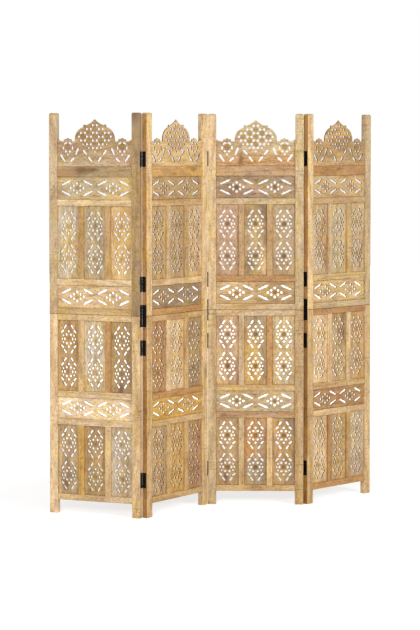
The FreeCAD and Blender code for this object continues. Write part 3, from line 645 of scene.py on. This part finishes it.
grained = grained_wood(
    tree, carried(tree, "place").outputs["Vector"], carried(tree, "tone").outputs["Color"],
    carried(tree, "stain").outputs["Color"], 0.75, 0.25)
heart = wire(tree, "ShaderNodeGroup", {}, node_tree=spot)
tree.links.new(carried(tree, "knot").outputs["Vector"], heart.inputs["Offset"])
heart.inputs["Size"].default_value = knot_size
shade = blend(tree, product(tree, heart.outputs[0], 0.85), grained.outputs["Color"], colour("dark_brown"))
# Painted shade in the hollows of the carved flowers
shade = blend(tree, carried(tree, "flower").outputs["Fac"], shade, (0.46, 0.35, 0.26, 1), "MULTIPLY")
# Painted shade on the walls of the holes, nearly black
shade = blend(tree, product(tree, carried(tree, "cut").outputs["Fac"], 0.97), shade, colour("hole_wall_shade"))
# Painted shade in a band along the frame, where the boards sit back in their grooves
inset = carried(tree, "inset").outputs["Vector"]
inset = wire(tree, "ShaderNodeVectorMath", {0: inset}, operation="ABSOLUTE").outputs[0]
inset = wire(tree, "ShaderNodeVectorMath", {0: carried(tree, "edges").outputs["Vector"], 1: inset},
             operation="SUBTRACT")
inset = wire(tree, "ShaderNodeSeparateXYZ", {0: inset.outputs[0]}).outputs
nearest = wire(tree, "ShaderNodeMath", {0: inset["X"], 1: inset["Y"]}, operation="MINIMUM").outputs[0]
painted_shade = spread(tree, nearest, 0.0, frame_shade_width, 0.65, 0.0)
shade = blend(tree, painted_shade, shade, (0.46, 0.33, 0.22, 1), "MULTIPLY")
finish_wood(tree, surface, shade, grained)

no_knot = (1.0, 1.0, 1.0)
foot_height = 0.025
tip_height = 0.075
# How dark the painted shade in the flowers is on each panel
flower_shade = {"panel_1": 0.35, "panel_2": 0.40, "panel_3": 0.85, "panel_4": 0.45}


def lay_boards(name, node, panel, boards):
    """Sets copies of the board shapes in a panel: (shape, x, z, tones, stain, grain lies, knot) each.

    The tones are those at the foot and at the tip; a board turns from one to the other on the way up.
    """
    bm = board_mesh()
    chance = random.Random(name)
    turn = Matrix.Rotation(math.radians(panel_turns[panel]), 4, "Z")
    corner = Matrix.Translation((*panel_corners[panel], 0.0))
    for shape, x, z, (foot, tip), stain, lies, knot in boards:
        start = len(bm.verts)
        bm.from_mesh(shape)
        bm.verts.ensure_lookup_table()
        fresh = bm.verts[start:]
        layers = bm.verts.layers
        place, knots = layers.float_vector["place"], layers.float_vector["knot"]
        tones, stains = layers.float_color["tone"], layers.float_color["stain"]
        painted_shade = layers.float["flower"]
        away = Vector([chance.uniform(-9, 9) for _ in range(3)])
        for vert in fresh:
            x0, y0, z0 = vert.co
            vert[place] = away + (Vector((y0, z0, x0)) if lies else Vector((x0, z0, y0)))
            vert[knots] = Vector((x0 - knot[0], z0, y0 - knot[1])) if knot else no_knot
            vert[painted_shade] *= flower_shade[panel]
            way_up = min(1.0, max(0.0, (y0 - foot_height) / (tip_height - foot_height)))
            vert[tones] = Vector(colour(foot)).lerp(Vector(colour(tip)), way_up)
            vert[stains] = colour(stain)
        spot_on_panel = Matrix.Translation((x, board_recess, z)) @ Matrix.Rotation(math.radians(90), 4, "X")
        bmesh.ops.transform(bm, matrix=corner @ turn @ spot_on_panel, verts=fresh)
    mesh = bpy.data.meshes.new(name)
    bm.to_mesh(mesh)
    bm.free()
    mesh.shade_smooth()
    mesh.set_sharp_from_angle(angle=math.radians(38))
    mesh.materials.append(board_wood)
    piece = bpy.data.objects.new(name, mesh)
    bpy.context.scene.collection.objects.link(piece)
    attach(piece, panel)
    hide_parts(node)


slat_columns = (0.0825, 0.2015, 0.3205)
slat_rows = (("bottom", 0.082, 0.368), ("middle", 0.508, 0.800), ("top", 0.970, 1.270))
# Tone, stain and knot of each slat, from the bottom row up and from left to right
slat_finish = {
    "panel_1": (
        ("light_tan", "grey_stain", (-0.010, -0.105)), ("dull_brown", "ochre", None),
        ("ash", "brown_tan", None),
        ("tan", "red_brown", None), ("ash", "yellow", None), ("dull_brown", "grey_stain", (-0.004, -0.128)),
        ("ash", "yellow", None), ("oat", "grey_stain", None), ("straw", "honey", None),
    ),
    "panel_2": (
        ("brown_tan", "peach", None), ("ochre", "honey", None), ("red_brown", "mauve", None),
        ("red_brown", "orange_brown", None), ("straw", "honey", None), ("dull_brown", "mauve", None),
        ("brown_tan", "honey", None), ("brown_tan", "dull_brown", None), ("grey_beige", "peach", None),
    ),
    "panel_3": (
        ("brown_tan", "dull_brown", (-0.008, -0.112)), ("olive_tan", "rust", None),
        ("grey_stain", "ochre", None),
        ("mauve", "straw", None), ("olive_tan", "honey", None), ("oat", "honey", None),
        ("mauve", "mauve", None), ("grey_stain", "yellow", None), ("olive_tan", "mauve", None),
    ),
    "panel_4": (
        ("straw", "mauve", None), ("brown_tan", "honey", None), ("grey_beige", "mauve", None),
        ("sand", "peach", None), ("biscuit", "dark_brown", None), ("tan", "orange_brown", None),
        ("grey_beige", "red_brown", None), ("oat", "yellow", None), ("grey_beige", "brown_tan", None),
    ),
}
slat_shapes = {row: slat_shape(high - low) for row, low, high in slat_rows}
for panel, finishes in slat_finish.items():
    spots = [(row, x, (low + high) / 2) for row, low, high in slat_rows for x in slat_columns]
    boards = [(slat_shapes[row], x, z, (tone, tone), stain, False, knot)
              for (row, x, z), (tone, stain, knot) in zip(spots, finishes)]
    lay_boards(panel + "_slats", panel + "_carved_slats", panel, boards)


# Friezes: three boards across each panel, pierced with two lying units, their grain along them.
opening_width = 0.333
half_opening = opening_width / 2
frieze_pitch = 0.482 * opening_width
frieze_slash_width = 0.0086
frieze_holes = ((0, 0.200, 0.068, 0.120), (0.179, 0, 0.067, 0.119), (0.090, 0.098, 0.056, 0.121))
frieze_slashes = ((0.440, 0.118, 0.148, 0.333),)
frieze_flower = 0.0085
# A fan of three gouge cuts stands over and under the middle of each flower
fan_height_share = 0.34
fan_reach = 0.0055
gouge_size = (0.0028, 0.0068)


def frieze_shape(height):
    bm = board_mesh()
    outline = rectangle(bm, opening_width + 2 * tongue, height + 2 * tongue)
    holes = []
    for side in (-1, 1):
        middle = (side * frieze_pitch / 2, 0.0)
        holes += unit(bm, middle, (frieze_pitch, height), frieze_holes, frieze_slashes, frieze_slash_width)
        flower(bm, *middle, frieze_flower, 1.0)
        for turn in (-40, 0, 40):
            lean = math.radians(turn)
            x, y = fan_reach * math.sin(lean), fan_height_share * height - fan_reach * math.cos(lean)
            gouge(bm, x, side * y, *gouge_size, lean * side)
    return carved_board(bm, outline, holes, (half_opening, height / 2, 0), "frieze shape")


frieze_rows = (("low", 0.393, 0.483), ("high", 0.850, 0.945), ("high", 1.295, 1.390))
frieze_finish = {
    "panel_1": (("cream", "straw"), ("straw", "straw"), ("oat", "yellow")),
    "panel_2": (("honey", "ochre"), ("grey_stain", "dull_brown"), ("dull_brown", "tan")),
    "panel_3": (("oat", "tan"), ("dull_brown", "straw"), ("grey_stain", "mauve")),
    "panel_4": (("red_brown", "dull_brown"), ("biscuit", "straw"), ("tan", "grey_beige")),
}
frieze_shapes = {row: frieze_shape(high - low) for row, low, high in frieze_rows}
for panel, finishes in frieze_finish.items():
    boards = [(frieze_shapes[row], panel_width / 2, (low + high) / 2, (tone, tone), stain, True, None)
              for (row, low, high), (tone, stain) in zip(frieze_rows, finishes)]
    lay_boards(panel + "_pierced_friezes", panel + "_friezes", panel, boards)


# Crest boards: a pointed dome between two small arches over the top rail, sawn to shape, with a lattice
# of flowers in the dome and a rosette under each arch.
crest_height = 0.194
crest_slash_width = 0.0095
crest_shoulder = ((1.0, 0.582), (0.91, 0.541), (0.838, 0.536))
crest_arch = ((0.832, 0.552), (0.812, 0.583), (0.771, 0.579), (0.727, 0.606), (0.683, 0.579), (0.642, 0.583),
              (0.622, 0.552))
crest_valley = ((0.616, 0.536), (0.533, 0.536))
crest_dome = ((0.533, 0.590), (0.452, 0.757), (0.297, 0.838), (0.281, 0.889), (0.240, 0.872), (0.125, 0.915),
              (0.0, 1.0))
crest_slashes = (
    (0.794, 0.098, 0.933, 0.278), (0.521, 0.242, 0.430, 0.412), (0.667, 0.103, 0.539, 0.191),
    (0.212, 0.253, 0.315, 0.361), (0.073, 0.098, 0.176, 0.222),
)
lattice_middle = (0.0, 0.634)
lattice_cell = 0.106 * half_opening
lattice_row = 0.0797 * crest_height
lattice_reach = 0.336 * lattice_cell
lattice_nose = 0.158 * lattice_cell
lattice_border_hole = 0.44 * lattice_cell
lattice_flower = 0.0108
lattice_cells = ((0, -2), (0, 0), (0, 2), (1, -1), (1, 1), (2, 0), (-1, -1), (-1, 1), (-2, 0))
lattice_border = ((2, -2), (1, -3), (0, -4), (-2, -2), (-1, -3))
rosette_place = (0.727, 0.411)
rosette_radius = 0.117 * half_opening
rosette_slot = 0.34 * rosette_radius
rosette_flower = 0.0125
rosette_slots = ((35.0, 80.0), (100.0, 145.0))
rosette_holes = ((1.06, -0.15, 0.40, 0.84), (-1.06, -0.15, 0.40, 0.84), (0.47, -0.90, 0.54, 0.46),
                 (-0.47, -0.90, 0.54, 0.46), (0.0, -1.55, 0.43, 0.50))


def crest_spot(share, side=1):
    return (side * share[0] * half_opening, share[1] * crest_height)


def bows(points, steps):
    """Arcs of a circle through points: every second point is where one arc meets the next."""
    places = [Vector(points[0])]
    for start, through, end in zip(points[0::2], points[1::2], points[2::2]):
        start, through, end = Vector(start), Vector(through), Vector(end)
        first, second = through - start, end - start
        twice_area = 2 * (first.x * second.y - first.y * second.x)
        square = (first.length_squared * second - second.length_squared * first) / twice_area
        middle = start + Vector((square.y, -square.x))
        sweep = (start - middle).angle_signed(through - middle)
        sweep += (through - middle).angle_signed(end - middle)
        for step in range(1, steps + 1):
            places.append(middle + Matrix.Rotation(-sweep * step / steps, 2) @ (start - middle))
    return [tuple(place) for place in places]


def blunt_triangle(bm, x, y, reach, nose, pointing):
    """A hole with three round noses and its rim; the first nose points at the given angle."""
    reach, nose = reach + rim, nose + rim
    points = []
    for corner in (pointing, pointing + 120, pointing + 240):
        for swing in (-60, -20, 20, 60):
            place, edge = math.radians(corner), math.radians(corner + swing)
            points.append((x + (reach - nose) * math.cos(place) + nose * math.cos(edge),
                           y + (reach - nose) * math.sin(place) + nose * math.sin(edge)))
    return cap(bm, points)


def ring_slot(bm, middle, radius, width, start, end):
    """A curved slot with its rim: a short edge spun about the rosette, made one face."""
    width += 2 * rim
    spill = math.degrees(rim / radius)
    start, end = start - spill, end + spill
    first = math.radians(start)
    reach = Vector((math.cos(first), math.sin(first)))
    ends = [bm.verts.new((*(Vector(middle) + reach * (radius + side * width / 2)), 0)) for side in (-1, 1)]
    edge = bm.edges.new(ends)
    bmesh.ops.spin(bm, geom=ends + [edge], cent=(*middle, 0), axis=(0, 0, 1),
                   angle=math.radians(end - start), steps=5)
    faces = {face for vert in ends for face in vert.link_faces}
    while True:
        wider = {face for one in faces for e in one.edges for face in e.link_faces}
        if wider == faces:
            break
        faces = wider
    made = bmesh.ops.dissolve_faces(bm, faces=list(faces), use_verts=False)
    face = made["region"][0]
    face.normal_update()
    if face.normal.z < 0:
        face.normal_flip()
    return face


def crest_shape():
    bm = board_mesh()
    right = [crest_spot(share) for share in crest_shoulder]
    right += bows([crest_spot(share) for share in crest_arch], 4)
    right += [crest_spot(share) for share in crest_valley]
    right += bows([crest_spot(share) for share in crest_dome], 7)
    left = [(-x, y) for x, y in reversed(right[:-1])]
    tongues = [(half_opening + tongue, -tongue), (half_opening + tongue, right[0][1])]
    outline = cap(bm, tongues + right + left + [(-x, y) for x, y in reversed(tongues)])
    middle = crest_spot(lattice_middle)
    corners = {(3 * column + across, level + up) for column, level in lattice_cells
               for across, up in ((2, 0), (-2, 0), (1, 1), (1, -1), (-1, 1), (-1, -1))}
    holes = []
    for across, up in sorted(corners):
        pointing = 0 if across % 3 == 2 else 180
        x, y = middle[0] + across * lattice_cell / 2, middle[1] + up * lattice_row
        holes.append(blunt_triangle(bm, x, y, lattice_reach, lattice_nose, pointing))
    for column, level in lattice_border:
        x, y = middle[0] + 3 * column * lattice_cell / 2, middle[1] + level * lattice_row
        holes.append(round_hole(bm, x, y, lattice_border_hole, lattice_border_hole))
    for column, level in lattice_cells:
        x, y = middle[0] + 3 * column * lattice_cell / 2, middle[1] + level * lattice_row
        flower(bm, x, y, lattice_flower, 0.6)
    for side in (-1, 1):
        eye = crest_spot(rosette_place, side)
        for start, end in rosette_slots:
            holes.append(ring_slot(bm, eye, rosette_radius, rosette_slot, start, end))
        for x, y, width, height in rosette_holes:
            x, y = eye[0] + x * rosette_radius, eye[1] + y * rosette_radius
            holes.append(round_hole(bm, x, y, width * rosette_radius, height * rosette_radius))
        flower(bm, *eye, rosette_flower, 0.7)
        for x0, y0, x1, y1 in crest_slashes:
            start, end = crest_spot((x0, y0), side), crest_spot((x1, y1), side)
            holes.append(slash(bm, start, end, crest_slash_width, -side))
    return carved_board(bm, outline, holes, (half_opening, 0.5, 0.5), "crest shape")


crest_base = 1.430
# Tones at the foot and in the dome, stain and knot
crest_finish = {
    "panel_1": (("grey_beige", "dull_brown"), "mauve", None),
    "panel_2": (("light_tan", "light_tan"), "straw", None),
    "panel_3": (("orange_brown", "oat"), "brown_tan", (-0.062, 0.031)),
    "panel_4": (("brown_tan", "dull_brown"), "peach", None),
}
dome = crest_shape()
for panel, (tones, stain, knot) in crest_finish.items():
    lay_boards(panel + "_crest", panel + "_crest_board", panel,
               [(dome, panel_width / 2, crest_base, tones, stain, True, knot)])


# Hinges: fifteen butt hinges in black painted steel with painted grey highlights on the knuckles, on
# steel pins. Their leaves are let into the side faces of the posts and held by screws.
fold_axes = {
    "fold_1": (-0.392593, -0.119766),
    "fold_2": (-0.041981, 0.081605),
    "fold_3": (0.345154, -0.035034),
}
barrel_reach = 0.0032


def metal(name, base, highlight_grey, knuckle_highlight, rough, fold):
    """Painted or bare metal, with grey metallic patches on the barrel about the fold's axis as painted
    highlights.
    """
    material, tree, surface = empty_material(name + " " + fold.replace("_", " "))
    there = wire(tree, "ShaderNodeTexCoord").outputs["Object"]
    axis = (*fold_axes[fold], 0)
    away = wire(tree, "ShaderNodeVectorMath", {0: there, 1: axis}, operation="SUBTRACT").outputs[0]
    away = wire(tree, "ShaderNodeVectorMath", {0: away, 1: (1, 1, 0)}, operation="MULTIPLY").outputs[0]
    away = wire(tree, "ShaderNodeVectorMath", {0: away}, operation="LENGTH").outputs["Value"]
    barrel = spread(tree, away, barrel_reach, barrel_reach - 0.0008)
    patches = noise(tree, there, (1, 1, 1), 160.0, 4.0, 0.7).outputs[0]
    # Painted highlights: grey metallic patches, on the barrel only
    mask = product(tree, spread(tree, patches, 0.42, 0.62, 0.0, knuckle_highlight), barrel)
    shade = blend(tree, mask, base, highlight_grey)
    rough = spread(tree, patches, 0.3, 0.7, rough, rough + 0.15)
    bump = wire(tree, "ShaderNodeBump", {"Strength": 0.25, "Distance": 0.0003, "Height": patches})
    shader = wire(tree, "ShaderNodeBsdfPrincipled", {
        "Base Color": shade, "Roughness": rough, "Metallic": mask, "Normal": bump.outputs[0],
        "Specular IOR Level": 0.2})
    tree.links.new(shader.outputs[0], surface)
    return material


# How strong the painted highlights on the knuckles are at each fold
for fold, knuckle_highlight in (("fold_1", 0.8), ("fold_2", 0.1), ("fold_3", 0.2)):
    leaf_paint = metal("black paint", (0.004, 0.0035, 0.003, 1), (0.30, 0.28, 0.26, 1), knuckle_highlight, 0.45, fold)
    pin_steel = metal("dark steel", (0.016, 0.015, 0.014, 1), (0.40, 0.38, 0.36, 1), knuckle_highlight, 0.36, fold)
    for part, material in (("left_leaves", leaf_paint), ("right_leaves", leaf_paint), ("pins", pin_steel),
                           ("left_screws", pin_steel), ("right_screws", pin_steel)):
        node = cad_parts[f"{fold}_{part}"]
        node.data.materials.clear()
        node.data.materials.append(material)

for spare in (*slat_shapes.values(), *frieze_shapes.values(), dome):
    bpy.data.meshes.remove(spare)
